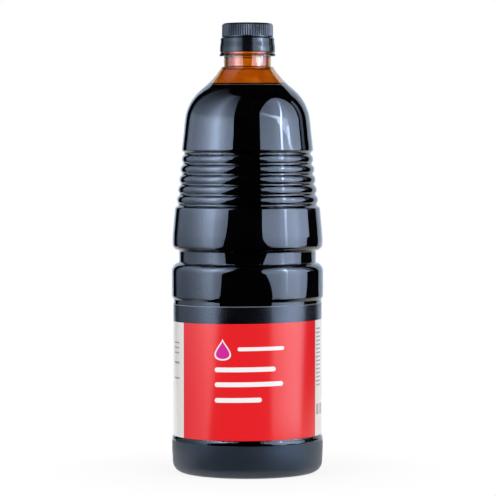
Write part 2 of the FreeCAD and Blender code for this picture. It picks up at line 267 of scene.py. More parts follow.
def outline(bm, corners):
    """Wire in the XZ plane through (radius, height, rounding) corners in millimetres, its roundings true arcs."""
    reach = [r * MM for r in reaches(corners)]
    points = [Vector((r * MM, 0, z * MM)) for r, z, _ in corners]
    last = bm.verts.new(points[0])

    def line_to(place):
        nonlocal last
        if (last.co - place).length > SAME_PLACE:
            last = drawn_on(bm, last, place)

    for i in range(1, len(points) - 1):
        back = (points[i - 1] - points[i]).normalized()
        ahead = (points[i + 1] - points[i]).normalized()
        if reach[i] < SAME_PLACE:
            line_to(points[i])
            continue
        line_to(points[i] + back * reach[i])
        half = back.angle(ahead) / 2
        radius = reach[i] * math.tan(half)
        centre = points[i] + (back + ahead).normalized() * radius / math.sin(half)
        turn = math.pi - 2 * half
        way = (-back).cross(ahead).normalized()
        steps = max(2, math.ceil(turn / ARC_STEP))
        made = bmesh.ops.spin(bm, geom=[last], cent=centre, axis=way, angle=turn, steps=steps)
        last = next(g for g in made["geom_last"] if isinstance(g, bmesh.types.BMVert))
    line_to(points[-1])


def walled(corners, walls):
    """The outline moved inwards at each corner by the wall there."""
    moved = []
    for i, (r, z, rounding) in enumerate(corners):
        sides = []
        for a, b in ((i - 1, i), (i, i + 1)):
            if a >= 0 and b < len(corners):
                along = Vector((corners[b][0] - corners[a][0], corners[b][1] - corners[a][1])).normalized()
                sides.append(Vector((-along.y, along.x)))
        inward = sum(sides, Vector((0, 0))).normalized()
        step = inward * walls[i] / inward.dot(sides[0])
        bend = sides[0].x * sides[-1].y - sides[0].y * sides[-1].x
        if rounding:
            rounding = max(rounding - math.copysign(walls[i], bend), SMALLEST_ROUNDING)
        moved.append((max(r + step.x, 0.0) if i else 0.0, z + step.y if i else z + walls[0], rounding))
    return moved


def body_outline(s):
    """Corners of the body's outside and the wall at each, in millimetres, from the base's middle to the neck."""
    base, panel, neck = s.base_radius / MM, s.panel_radius / MM, s.neck_radius / MM
    lower, waist, upper = s.lower_band_radius / MM, s.waist_radius / MM, s.upper_band_radius / MM
    shoulder, pitch, wall = s.shoulder_radius / MM, s.rib_pitch / MM, s.body_wall / MM
    corners = [
        (0.0, 9.0, 0.0), (8.0, 9.0, 22.0), (40.0, 0.0, 1.6), (base - 0.8, 0.0, 7.3),
        (base, 16.0, 20.0), (base, FROST_TOP, 0.0), (base, 24.0, 2.4), (panel, 25.2, 0.8), (panel, 116.7, 0.8),
        (lower, 118.4, 3.4), (lower, 139.85, 6.5), (waist, 141.6, 0.6), (waist, 149.4, 0.6),
        (upper, 150.5, 4.4), (upper, 158.9, 20.0), (upper - 1.75, GRIP_FOOT - 2.2, 1.8),
    ]
    walls = [BASE_WALL] * 4 + [wall] * (len(corners) - 4)
    sharp_crest = GRIP_ROUNDING * (1 / math.cos(GRIP_FLANK) - 1)
    rise = pitch / 2 * math.tan(GRIP_FLANK)
    for i in range(s.rib_count):
        crest = s.lowest_rib_radius / MM - i * GRIP_LEAN + sharp_crest
        corners.append((crest - rise + GRIP_LEAN / 2, GRIP_FOOT + i * pitch, 1.1))
        corners.append((crest, GRIP_FOOT + (i + 0.5) * pitch, GRIP_ROUNDING))
    top = GRIP_FOOT + s.rib_count * pitch
    corners.append((corners[-2][0] - GRIP_LEAN, top, 1.1))
    walls += [wall] * (2 * s.rib_count + 1)
    corners += [
        (shoulder, top + 2.2, 1.2), (shoulder - 3.55, top + 35.3, 30.5),
        (s.flare_radius / MM, top + 50.1, 52.0), (neck + 1.6, top + 58.05, 0.0),
    ]
    walls += [wall, 1.1, 1.5, 1.8]
    return corners, walls


def neck_outline(s):
    """Corners of the neck's outside: ledge, plain neck, support ring, finish and mouth."""
    neck, ring = s.neck_radius / MM, NECK_FOOT + 7.25
    return [
        (neck, NECK_FOOT + 0.5, 0.2), (neck, ring, 0.4), (RING_RADIUS, ring, 0.2), (RING_RADIUS, ring + 0.55, 0.0),
        (RING_RADIUS, ring + 1.3, 0.2), (RING_RADIUS - 0.6, ring + 2.5, 0.2), (FINISH_RADIUS, ring + 2.5, 0.2),
        (FINISH_RADIUS, 287.15, 0.0), (FINISH_RADIUS + 0.7, 287.15, 0.2), (FINISH_RADIUS, 288.75, 0.2),
        (FINISH_RADIUS, MOUTH, 0.4),
    ]


def inside_outline(s, give=0.0):
    """Corners of the bottle's inside from the base's middle to the mouth, moved outwards by give."""
    corners, walls = body_outline(s)
    inner = walled(corners, [w - give for w in walls])
    bore = s.bore_radius / MM + give
    (r0, z0, _), (r1, z1, _) = inner[-2], inner[-1]
    slope = (z1 - z0) / (r1 - r0)
    ledge = s.neck_radius / MM - 0.1 + give
    inner[-1] = (ledge, z1 + (ledge - r1) * slope, 0.3)
    inner.append((bore, NECK_FOOT + 0.3, 0.5))
    inner.append((bore, MOUTH, 0.0))
    return inner


# ---------------------------------------------------------------- mesh helpers


def turned(bm, steps=AROUND):
    """Spins every edge right round the bottle's axis and closes the poles."""
    wire = bm.verts[:] + bm.edges[:]
    bmesh.ops.spin(bm, geom=wire, cent=(0, 0, 0), axis=AXIS, angle=2 * math.pi, steps=steps, use_merge=True)
    bmesh.ops.remove_doubles(bm, verts=bm.verts, dist=MERGE_DISTANCE)
    bmesh.ops.dissolve_degenerate(bm, edges=bm.edges, dist=CUT_DISTANCE)
    bmesh.ops.recalc_face_normals(bm, faces=bm.faces)


def cut_off(bm, height, above=True):
    """Cuts the wire or mesh at a height and drops one side."""
    whole = bm.verts[:] + bm.edges[:] + bm.faces[:]
    bmesh.ops.bisect_plane(
        bm, geom=whole, plane_co=(0, 0, height), plane_no=AXIS,
        clear_outer=above, clear_inner=not above, dist=CUT_DISTANCE,
    )


def outwards(place):
    """Level direction from the axis to a place."""
    return Vector((place.x, place.y, 0.0))


def finish_piece(bm, name, materials, replaces=None):
    """Makes the object, its shading and its place in the frame."""
    for face in bm.faces:
        face.smooth = True
    mesh = bpy.data.meshes.new(name)
    bm.to_mesh(mesh)
    bm.free()
    mesh.set_sharp_from_angle(angle=SHARP_EDGE)
    piece = bpy.data.objects.new(name, mesh)
    bpy.context.scene.collection.objects.link(piece)
    for material in materials:
        mesh.materials.append(material)
    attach(piece, BODY)
    if replaces:
        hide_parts(replaces)


# ---------------------------------------------------------------- material helpers


def new_material(name):
    """A new material with its tree and its main shader."""
    material = bpy.data.materials.new(name)
    material.use_nodes = True
    tree = material.node_tree
    return material, tree, tree.nodes["Principled BSDF"]


def node(tree, kind, **settings):
    """Adds a node, setting its properties and, by socket name or number, its inputs."""
    made = tree.nodes.new(kind)
    for key, value in settings.items():
        if key.startswith("in_"):
            key = key[3:]
            socket = made.inputs[int(key)] if key.isdigit() else made.inputs[key.replace("_", " ")]
            if isinstance(value, bpy.types.NodeSocket):
                tree.links.new(value, socket)
            else:
                socket.default_value = value
        else:
            setattr(made, key, value)
    return made


def from_to(tree, value, low, high, **settings):
    """The value's share of the way from low to high."""
    return node(tree, "ShaderNodeMapRange", in_Value=value, in_1=low, in_2=high, **settings).outputs[0]


def calc(tree, operation, a, b=0.0, c=0.0):
    """Result of one sum on numbers or sockets."""
    return node(tree, "ShaderNodeMath", operation=operation, in_0=a, in_1=b, in_2=c).outputs[0]


def blend_colour(tree, share, a, b):
    """Colour a where the share is 0 and b where it is 1."""
    made = node(tree, "ShaderNodeMix", data_type="RGBA")
    for socket, value in ((made.inputs[0], share), (made.inputs[6], a), (made.inputs[7], b)):
        if isinstance(value, bpy.types.NodeSocket):
            tree.links.new(value, socket)
        else:
            socket.default_value = value if isinstance(value, float) else (*value, 1.0)
    return made.outputs[2]


def bump(tree, shader, height, strength, distance):
    """Relief of a height field on a shader's surface; the distance is in metres."""
    made = node(tree, "ShaderNodeBump", in_Strength=strength, in_Distance=distance, in_Height=height)
    tree.links.new(made.outputs[0], shader.inputs["Normal"])


def object_place(tree, scale=(1.0, 1.0, 1.0)):
    """Place on the piece, scaled along its axes."""
    place = node(tree, "ShaderNodeTexCoord").outputs["Object"]
    return node(tree, "ShaderNodeMapping", in_Vector=place, in_Scale=scale).outputs[0]


def noise(tree, vector, scale, detail=2.0, roughness=0.5):
    """Noise from 0 to 1; the scale is in waves to the metre."""
    made = node(tree, "ShaderNodeTexNoise", in_Vector=vector, in_Scale=scale, in_Detail=detail, in_Roughness=roughness)
    return made.outputs["Fac"]


# ---------------------------------------------------------------- materials


def clear_plastic():
    """Clear blown plastic: slightly uneven wall, so reflections waver a little."""
    material, tree, shader = new_material("clear_plastic")
    shader.inputs["Base Color"].default_value = (0.965, 0.975, 0.98, 1.0)
    shader.inputs["IOR"].default_value = 1.57
    shader.inputs["Transmission Weight"].default_value = 1.0
    slow = noise(tree, object_place(tree, (1.0, 1.0, 2.2)), 38.0, 1.0)
    fine = noise(tree, object_place(tree, (1.0, 1.0, 1.6)), 150.0, 2.0)
    height = calc(tree, "MULTIPLY_ADD", fine, 0.12, slow)
    bump(tree, shader, height, 0.6, 0.0001)
    tree.links.new(calc(tree, "MULTIPLY_ADD", fine, 0.03, 0.005), shader.inputs["Roughness"])
    return material


def ring_painted_shade():
    """Rim of the thick clear support ring, painted near-black: painted shade for the black collar above it that shows
    through the clear plastic.
    """
    material, tree, shader = new_material("ring_painted_shade")
    # near-black colour: painted shade on a ring that is really clear
    shader.inputs["Base Color"].default_value = (0.002, 0.002, 0.003, 1.0)
    shader.inputs["IOR"].default_value = 1.5
    shader.inputs["Specular IOR Level"].default_value = 0.08
    fine = noise(tree, object_place(tree), 200.0, 2.0)
    tree.links.new(calc(tree, "MULTIPLY_ADD", fine, 0.05, 0.04), shader.inputs["Roughness"])
    bump(tree, shader, fine, 0.2, 0.00005)
    return material


def frost_and_painted_sheen():
    """The base band's mould-etched, satin outside, with a painted cool sheen from its blue tint."""
    material, tree, shader = new_material("frost_and_painted_sheen")
    # blue base colour, small diffuse share and cool specular tint: painted sheen of cool reflected light on clear
    # plastic
    shader.inputs["Base Color"].default_value = (0.5, 0.7, 0.98, 1.0)
    shader.inputs["IOR"].default_value = 1.57
    shader.inputs["Transmission Weight"].default_value = 0.973
    shader.inputs["Specular IOR Level"].default_value = 0.52
    shader.inputs["Specular Tint"].default_value = (0.82, 0.94, 1.12, 1.0)
    etched = noise(tree, object_place(tree), 900.0, 3.0, 0.6)
    bump(tree, shader, etched, 0.5, 0.00006)
    tree.links.new(calc(tree, "MULTIPLY_ADD", etched, 0.12, 0.39), shader.inputs["Roughness"])
    return material


def dark_sauce(c, s):
    """Near-black sauce, brown where it climbs the wall."""
    material, tree, shader = new_material("dark_sauce")
    height = node(tree, "ShaderNodeSeparateXYZ", in_0=node(tree, "ShaderNodeTexCoord").outputs["Object"]).outputs[2]
    share = from_to(tree, height, s.sauce_level + 0.0002, s.sauce_level + 0.001)
    depth = noise(tree, object_place(tree), 30.0, 3.0)
    deep = blend_colour(tree, depth, tuple(c.sauce), tuple(x * 1.6 for x in c.sauce))
    tree.links.new(blend_colour(tree, share, deep, (0.07, 0.011, 0.0008)), shader.inputs["Base Color"])
    shader.inputs["Roughness"].default_value = 0.08
    shader.inputs["IOR"].default_value = 1.4
    shader.inputs["Specular IOR Level"].default_value = 0.06
    bump(tree, shader, noise(tree, object_place(tree), 60.0), 0.1, 0.0002)
    return material


def sauce_stain(c):
    """The amber film of sauce that clings to the headspace's wall, darkened where seen edge-on as painted shade."""
    material, tree, shader = new_material("sauce_film")
    place = object_place(tree, (1.0, 1.0, 0.35))
    runs = noise(tree, place, 120.0, 4.0, 0.6)
    thin = tuple(min(1.0, x * 1.12 + 0.03) for x in c.film)
    thick = tuple(x * x ** 0.5 for x in c.film)
    share = from_to(tree, runs, 0.3, 0.75)
    # darker where the film is seen edge-on: painted shade for the dark outline at the wall's edges
    along = node(tree, "ShaderNodeLayerWeight", in_Blend=0.5).outputs["Facing"]
    edge = from_to(tree, along, 0.55, 0.95, interpolation_type="SMOOTHSTEP")
    body = blend_colour(tree, share, thin, thick)
    tree.links.new(blend_colour(tree, edge, body, tuple(x ** 2.2 * 0.25 for x in c.film)), shader.inputs["Base Color"])
    shader.inputs["IOR"].default_value = 1.4
    shader.inputs["Transmission Weight"].default_value = 1.0
    shader.inputs["Roughness"].default_value = 0.02
    bump(tree, shader, runs, 0.2, 0.0001)
    return material


def meniscus_highlight_edge(c):
    """Tan ring along the sauce's edge, speckled: a painted highlight for the light line that the meniscus shows through
    the wall.
    """
    material, tree, shader = new_material("meniscus_highlight")
    speckle = node(tree, "ShaderNodeTexVoronoi", in_Vector=object_place(tree), in_Scale=1600.0).outputs["Distance"]
    tan = blend_colour(tree, speckle, tuple(c.meniscus_highlight), tuple(x * 0.6 for x in c.meniscus_highlight))
    tree.links.new(tan, shader.inputs["Base Color"])
    shader.inputs["Roughness"].default_value = 0.45
    bump(tree, shader, speckle, 0.4, 0.0001)
    return material


def black_plastic(c, name):
    """Satin moulded black plastic with a faint grain."""
    material, tree, shader = new_material(name)
    grain = noise(tree, object_place(tree), 1400.0, 3.0, 0.6)
    cloud = noise(tree, object_place(tree), 90.0, 2.0)
    tint = blend_colour(tree, cloud, tuple(x * 0.85 for x in c.plastic), tuple(x * 1.15 for x in c.plastic))
    tree.links.new(tint, shader.inputs["Base Color"])
    shader.inputs["IOR"].default_value = 1.5
    tree.links.new(calc(tree, "MULTIPLY_ADD", cloud, 0.12, 0.11), shader.inputs["Roughness"])
    bump(tree, shader, grain, 0.12, 0.00002)
    return material


def clear_film():
    """Satin clear film at the label's unprinted edges, tinted grey as painted shade that dims what shows through it."""
    material, tree, shader = new_material("clear_film")
    # grey tint on a clear film: painted shade
    shader.inputs["Base Color"].default_value = (0.28, 0.29, 0.32, 1.0)
    shader.inputs["IOR"].default_value = 1.5
    shader.inputs["Transmission Weight"].default_value = 1.0
    fine = noise(tree, object_place(tree), 300.0, 2.0)
    shader.inputs["Specular IOR Level"].default_value = 0.04
    tree.links.new(calc(tree, "MULTIPLY_ADD", fine, 0.08, 0.2), shader.inputs["Roughness"])
    bump(tree, shader, fine, 0.15, 0.00005)
    return material


def edge_painted_highlight():
    """The film's cut upper edge, painted light grey: a painted highlight for the light it catches."""
    material, tree, shader = new_material("edge_painted_highlight")
    fine = noise(tree, object_place(tree), 160.0, 2.0)
    # light greys on the clear film's edge: painted highlight
    tree.links.new(blend_colour(tree, fine, (0.1, 0.105, 0.12), (0.3, 0.31, 0.34)), shader.inputs["Base Color"])
    shader.inputs["Roughness"].default_value = 0.3
    bump(tree, shader, fine, 0.2, 0.00005)
    return material


def printed_film(c, s):
    """Printed film: red front, pale sides, plain bars and a drop, read from the label's own UV in millimetres."""
    material, tree, shader = new_material("printed_film")
    uv = node(tree, "ShaderNodeSeparateXYZ", in_0=node(tree, "ShaderNodeUVMap", uv_map="wrap").outputs[0])
    turn = 2 * math.pi * (s.panel_radius + LABEL_THICKNESS) / MM
    u = calc(tree, "MULTIPLY_ADD", uv.outputs[0], turn, -turn / 2)
    v = calc(tree, "MULTIPLY_ADD", uv.outputs[1], s.label_height / MM, s.label_foot / MM)

    def edge(value, low, high):
        """Soft step from low to high."""
        return from_to(tree, value, low, high, interpolation_type="SMOOTHSTEP")

    def off(value, centre):
        """Distance of a value from a centre."""
        return calc(tree, "ABSOLUTE", calc(tree, "SUBTRACT", value, centre))

    def plate(cu, cv, half_u, half_v, rounding, soft=0.08):
        """Share of a rounded plate at a place."""
        du = calc(tree, "MAXIMUM", calc(tree, "SUBTRACT", off(u, cu), half_u - rounding), 0.0)
        dv = calc(tree, "MAXIMUM", calc(tree, "SUBTRACT", off(v, cv), half_v - rounding), 0.0)
        away = calc(tree, "SQRT", calc(tree, "ADD", calc(tree, "MULTIPLY", du, du), calc(tree, "MULTIPLY", dv, dv)))
        return edge(away, rounding + soft, rounding - soft)

    def drop(cu, cv, size):
        """Share of a drop standing on its round end; t runs from -1 at its foot to 1 at its tip."""
        t = calc(tree, "DIVIDE", calc(tree, "SUBTRACT", v, cv), size * 1.25)
        t = calc(tree, "MINIMUM", calc(tree, "MAXIMUM", t, -1.0), 1.0)
        side = calc(tree, "SQRT", calc(tree, "SUBTRACT", 1.0, calc(tree, "MULTIPLY", t, t)))
        width = calc(tree, "MULTIPLY", calc(tree, "MULTIPLY", side, calc(tree, "SUBTRACT", 1.0, t)), 0.77 * size)
        width = calc(tree, "SUBTRACT", width, 0.12)
        return edge(calc(tree, "SUBTRACT", off(u, cu), width), PRINT_SOFT, -PRINT_SOFT)

    def either(shares):
        """Share covered by any of the shapes."""
        whole = shares[0]
        for share in shares[1:]:
            whole = calc(tree, "MAXIMUM", whole, share)
        return whole

    right_of = edge(u, PRINT_LEFT - PRINT_SOFT, PRINT_LEFT + PRINT_SOFT)
    left_of = edge(u, PRINT_RIGHT + PRINT_SOFT, PRINT_RIGHT - PRINT_SOFT)
    front = calc(tree, "MULTIPLY", right_of, left_of)
    colour = blend_colour(tree, front, tuple(c.sides), tuple(c.panel))
    grey = either([plate(cu, cv, hu, hv, min(0.3, hv)) for cu, cv, hu, hv in SMALL_BARS])
    colour = blend_colour(tree, calc(tree, "MULTIPLY", grey, 0.72), colour, (0.16, 0.16, 0.17))
    white = either([plate((u0 + u1) / 2, cv, (u1 - u0) / 2, half, half) for u0, u1, cv, half in FRONT_BARS])
    white = calc(tree, "MAXIMUM", white, drop(DROP_ACROSS, DROP_UP, DROP_SIZE))
    colour = blend_colour(tree, white, colour, tuple(c.bars))
    mark = drop(DROP_ACROSS, DROP_UP - DROP_BORDER / 4, DROP_SIZE - DROP_BORDER)
    colour = blend_colour(tree, mark, colour, tuple(c.mark))
    tone = noise(tree, object_place(tree), 55.0, 3.0)
    tone = calc(tree, "MULTIPLY_ADD", tone, 0.05, 0.975)
    shade = node(tree, "ShaderNodeHueSaturation", in_Value=tone, in_Color=colour).outputs[0]
    tree.links.new(shade, shader.inputs["Base Color"])
    fine_noise = noise(tree, object_place(tree), 420.0, 2.0)
    slow = noise(tree, object_place(tree, (1.0, 1.0, 0.4)), 45.0, 1.0)
    tree.links.new(calc(tree, "MULTIPLY_ADD", fine_noise, 0.06, 0.2), shader.inputs["Roughness"])
    shader.inputs["IOR"].default_value = 1.5
    shader.inputs["Specular IOR Level"].default_value = 0.6
    shader.inputs["Specular Tint"].default_value = (1.0, 0.95, 0.7, 1.0)
    bump(tree, shader, calc(tree, "MULTIPLY_ADD", fine_noise, 0.1, slow), 0.25, 0.0001)
    return material


def light_card(name, colour, across=None, up=None, strength=1.0, adds=False):
    """Glow of one strength, or of (place, level) stops over the card's UV, which holds azimuth and height."""
    material = bpy.data.materials.new(name)
    material.use_nodes = True
    tree = material.node_tree
    tree.nodes.clear()
    level = strength
    if across:
        uv = node(tree, "ShaderNodeSeparateXYZ", in_0=node(tree, "ShaderNodeTexCoord").outputs["UV"])
        level = calc(tree, "MULTIPLY", profile(tree, uv.outputs[0], across), profile(tree, uv.outputs[1], up))
    glow = node(tree, "ShaderNodeEmission", in_Color=(*colour, 1.0), in_Strength=level)
    if adds:
        behind = node(tree, "ShaderNodeBsdfTransparent")
        glow = node(tree, "ShaderNodeAddShader", in_0=glow.outputs[0], in_1=behind.outputs[0])
    node(tree, "ShaderNodeOutputMaterial", in_0=glow.outputs[0])
    return material


def profile(tree, value, stops):
    """Smooth curve through (place, level) stops."""
    first, last = stops[0][0], stops[-1][0]
    top = max(level for _, level in stops)
    made = node(tree, "ShaderNodeFloatCurve", in_Value=from_to(tree, value, first, last))
    points = made.mapping.curves[0].points
    for i, (place, level) in enumerate(stops):
        where = ((place - first) / (last - first), level / top)
        if i < 2:
            points[i].location = where
        else:
            points.new(*where)
    for point in points:
        point.handle_type = "AUTO_CLAMPED"
    made.mapping.update()
    return calc(tree, "MULTIPLY", made.outputs[0], top)


# ---------------------------------------------------------------- operators: the bottle


class SAUCEBOTTLE_OT_shell(bpy.types.Operator):
    """Clear blown shell, spun from its outline, with ribs under its base"""

    bl_idname = "sauce_bottle.shell"
    bl_label = "Clear shell"

    def execute(self, context):
        s = context.scene.sauce_bottle_sizes
        outer = body_outline(s)[0] + neck_outline(s)
        bm = bmesh.new()
        outline(bm, outer + inside_outline(s)[::-1])
        turned(bm)
        self.base_ribs(bm)
        for face in bm.faces:
            middle = face.calc_center_median()
            away = outwards(middle)
            outside = face.normal.dot(away.normalized()) > 0.2 or face.normal.z < -0.3
            # below and outside the frost limits the base gets the satin frost with its painted cool sheen
            if middle.z < FROST_TOP * MM and away.length > FROST_RADIUS * MM and outside:
                face.material_index = 1
            # the support ring's rim gets painted shade: a near-black material in place of the clear plastic
            elif away.length > (RING_RADIUS - 0.2) * MM and RING_SHADE[0] < middle.z / MM < RING_SHADE[1]:
                face.material_index = 2
        finish_piece(bm, "shell", [clear_plastic(), frost_and_painted_sheen(), ring_painted_shade()], "bottle")
        return {"FINISHED"}

    def base_ribs(self, bm):
        """Lowers the pushed-up base along its radial ribs."""
        for vert in bm.verts:
            r = math.hypot(vert.co.x, vert.co.y)
            if BASE_RIB_START < r < BASE_RIB_END and vert.normal.z < -0.3 and vert.co.z < BASE_HOLLOW_TOP:
                half_turn = BASE_RIB_TURN / 2
                part = (math.degrees(math.atan2(vert.co.y, vert.co.x)) + half_turn) % BASE_RIB_TURN - half_turn
                side = abs(math.radians(part)) * r
                wide = max(0.0, min(1.0, (BASE_RIB_HALF - side) / BASE_RIB_EDGE))
                ends = max(0.0, min(1.0, min(r - BASE_RIB_START, BASE_RIB_END - r) / BASE_RIB_RUNOUT))
                vert.co.z -= BASE_RIB_DEPTH * wide * ends


class SAUCEBOTTLE_OT_sauce(bpy.types.Operator):
    """Sauce, filling the shell to its level, its edge drawn up the wall"""

    bl_idname = "sauce_bottle.sauce"
    bl_label = "Sauce"

    def execute(self, context):
        s, c = context.scene.sauce_bottle_sizes, context.scene.sauce_bottle_colours
        bm = bmesh.new()
        outline(bm, inside_outline(s, 0.12))
        cut_off(bm, s.sauce_level + SAUCE_CLIMB)
        last = max(bm.verts, key=lambda v: v.co.z)
        for inwards, up in SAUCE_EDGE:
            last = drawn_on(bm, last, (last.co.x - inwards, 0, s.sauce_level + up))
        drawn_on(bm, last, (0, 0, s.sauce_level))
        turned(bm)
        finish_piece(bm, "sauce_body", [dark_sauce(c, s)], "sauce")
        return {"FINISHED"}


class SAUCEBOTTLE_OT_film(bpy.types.Operator):
    """Amber film of sauce on the headspace's wall, and a tan ring along the sauce's edge that is a painted highlight"""

    bl_idname = "sauce_bottle.film"
    bl_label = "Sauce film and foam"

    def execute(self, context):
        s, c = context.scene.sauce_bottle_sizes, context.scene.sauce_bottle_colours
        bm = bmesh.new()
        outline(bm, inside_outline(s, 0.04))
        cut_off(bm, s.sauce_level + FILM_FOOT, above=False)
        cut_off(bm, FILM_TOP)
        turned(bm)
        if sum(face.normal.dot(outwards(face.calc_center_median())) for face in bm.faces) < 0:
            bmesh.ops.reverse_faces(bm, faces=bm.faces)
        bmesh.ops.solidify(bm, geom=bm.faces[:], thickness=FILM_THICKNESS)
        bmesh.ops.recalc_face_normals(bm, faces=bm.faces)
        finish_piece(bm, "sauce_film", [sauce_stain(c)])
        # tan ring along the sauce's edge: a painted highlight of the meniscus
        wire = bmesh.new()
        outline(wire, inside_outline(s, 0.25))
        cut_off(wire, s.sauce_level - HIGHLIGHT_RING_HALF_CUT, above=False)
        cut_off(wire, s.sauce_level + HIGHLIGHT_RING_HALF_CUT)
        middle = sum((v.co for v in wire.verts), Vector()) / len(wire.verts)
        wire.free()
        bm = bmesh.new()
        bmesh.ops.create_circle(bm, segments=10, radius=HIGHLIGHT_RING_RADIUS, cap_ends=False)
        for vert in bm.verts:
            vert.co = Vector((vert.co.x, 0, vert.co.y)) + middle
        turned(bm, HIGHLIGHT_RING_AROUND)
        finish_piece(bm, "meniscus_highlight_ring", [meniscus_highlight_edge(c)])
        return {"FINISHED"}


class SAUCEBOTTLE_OT_label(bpy.types.Operator):
    """Wrap-around film label: a printed band with a clear strip, tinted grey as painted shade, and a cut edge above it,
    painted light grey as a highlight
    """

    bl_idname = "sauce_bottle.label"
    bl_label = "Film label"

    def execute(self, context):
        s, c = context.scene.sauce_bottle_sizes, context.scene.sauce_bottle_colours
        inner, outer = s.panel_radius - LABEL_SUNK, s.panel_radius + LABEL_THICKNESS
        foot, top = s.label_foot, s.label_foot + s.label_height
        cut = top - CUT_EDGE
        levels = [foot, s.print_foot] + [s.print_foot + (s.print_top - s.print_foot) * i / 8 for i in range(1, 9)]
        bm = bmesh.new()
        first = last = bm.verts.new((inner, 0, foot))
        for r, z in [(outer, z) for z in levels + [cut, top]] + [(inner, top)]:
            last = drawn_on(bm, last, (r, 0, z))
        bm.edges.new((last, first))
        turned(bm, LABEL_AROUND)
        wrap = bm.loops.layers.uv.new("wrap")
        for face in bm.faces:
            middle = face.calc_center_median()
            outside = face.normal.dot(outwards(middle).normalized()) > 0.5
            if outside and s.print_foot < middle.z < s.print_top:
                face.material_index = 0
            else:
                # the band above the cut gets the cut edge's painted highlight
                face.material_index = 2 if middle.z > cut else 1
            heading = math.atan2(middle.x, -middle.y)
            for loop in face.loops:
                a = math.atan2(loop.vert.co.x, -loop.vert.co.y)
                a += 2 * math.pi * round((heading - a) / (2 * math.pi))
                loop[wrap].uv = (a / (2 * math.pi) + 0.5, (loop.vert.co.z - foot) / s.label_height)
        for vert in bm.verts:
            share = (vert.co.z - foot) / s.label_height  # the slant is less near both edges
            slant = (LABEL_SLANT - SLANT_LOST * share) * min(1.0, 12 * share + 0.4, 12 * (1 - share) + 0.6)
            vert.co.z += vert.co.x * slant
        finish_piece(bm, "label_wrap", [printed_film(c, s), clear_film(), edge_painted_highlight()], "label")
        return {"FINISHED"}


class SAUCEBOTTLE_OT_collar(bpy.types.Operator):
    """Smooth black collar with an open spout, swelling gently towards its foot"""

    bl_idname = "sauce_bottle.collar"
    bl_label = "Collar"

    def execute(self, context):
        c = context.scene.sauce_bottle_colours
        bm = bmesh.new()
        outline(bm, [
            (13.0, MOUTH, 0.0), (15.45, MOUTH, 0.0), (15.45, 288.9, 0.0), (16.15, 287.0, 0.0), (15.45, 287.0, 0.0),
            (15.45, 282.55, 0.2), (18.5, 282.55, 0.15), (18.5, 283.1, 0.1), (18.62, 283.3, 0.1), (18.62, 286.2, 3.0),
            (18.12, 289.4, 3.0), (18.12, 291.8, 0.4), (17.45, 292.5, 0.2), (14.7, 292.5, 0.2), (14.7, 298.1, 0.5),
            (13.0, 298.1, 0.5), (13.0, MOUTH, 0.0),
        ])
        turned(bm, COLLAR_AROUND)
        finish_piece(bm, "collar_piece", [black_plastic(c, "collar_plastic")], "collar")
        return {"FINISHED"}


class SAUCEBOTTLE_OT_cap(bpy.types.Operator):
    """Black screw cap with fine upright grooves between a plain foot and a rounded rim"""

    bl_idname = "sauce_bottle.cap"
    bl_label = "Cap"

    def execute(self, context):
        s, c = context.scene.sauce_bottle_sizes, context.scene.sauce_bottle_colours
        foot, top = CAP_RIBS_FOOT, CAP_RIBS_TOP
        steps = len(CAP_GROOVE) * s.cap_grooves
        bm = bmesh.new()
        outline(bm, [
            (0.0, 300.45, 0.0), (15.05, 300.45, 0.6), (15.05, 292.65, 0.2), (17.25, 292.65, 0.2),
            (17.28, foot - 0.15, 0.0), (17.28, foot, 0.0), (17.14, top, 0.0), (17.05, top + 0.15, 0.0),
            (16.85, 301.3, 0.4), (16.2, 302.0, 0.6), (0.0, 302.3, 0.0),
        ])
        turned(bm, steps)
        for vert in bm.verts:
            r = math.hypot(vert.co.x, vert.co.y)
            if r > CAP_WALL_INSIDE * MM and foot - 0.05 < vert.co.z / MM < top + 0.05:
                step = round(math.atan2(vert.co.y, vert.co.x) / (2 * math.pi) * steps)
                sunk = CAP_GROOVE[step % len(CAP_GROOVE)] * MM
                vert.co.x *= 1 - sunk / r
                vert.co.y *= 1 - sunk / r
        finish_piece(bm, "cap_piece", [black_plastic(c, "cap_plastic")], "cap")
        return {"FINISHED"}


# ---------------------------------------------------------------- operator: the stage


def part_of(value, whole):
    """Value as a share of the whole, kept from 0 to 1."""
    return min(1.0, max(0.0, value / whole))


def towards(azimuth, elevation):
    """Direction from the bottle; azimuth 0 is in front of the label and grows to the right."""
    a, e = math.radians(azimuth), math.radians(elevation)
    return Vector((math.sin(a) * math.cos(e), -math.cos(a) * math.cos(e), math.sin(e)))


def studio_card(name, place, material):
    """A card whose place(u, v) gives the azimuth it shows at in the bottle's side, its height and its distance."""
    bm = bmesh.new()
    uv = bm.loops.layers.uv.verify()
    bmesh.ops.create_grid(bm, x_segments=CARD_CELLS, y_segments=CARD_CELLS, size=0.5, calc_uvs=True)
    bm.verts.index_update()
    shown = {}
    for vert in bm.verts:
        azimuth, height, distance = place(vert.co.x + 0.5, vert.co.y + 0.5)
        shown[vert.index] = (azimuth, height)
        parallax = math.degrees(math.asin(SIDE_RADIUS * math.sin(math.radians(azimuth / 2)) / distance))
        vert.co = towards(azimuth - parallax, 0) * distance + Vector((0, 0, height))
    for face in bm.faces:
        for loop in face.loops:
            loop[uv].uv = shown[loop.vert.index]
    hang_card(bm, name, material)


def hang_card(bm, name, material):
    """Makes a card for the stage; only mirror and glass rays see it, so that it lights nothing."""
    mesh = bpy.data.meshes.new(name)
    bm.to_mesh(mesh)
    bm.free()
    mesh.materials.append(material)
    card = bpy.data.objects.new(name, mesh)
    bpy.context.scene.collection.objects.link(card)
    for kind in ("camera", "diffuse", "volume_scatter", "shadow"):
        setattr(card, "visible_" + kind, False)


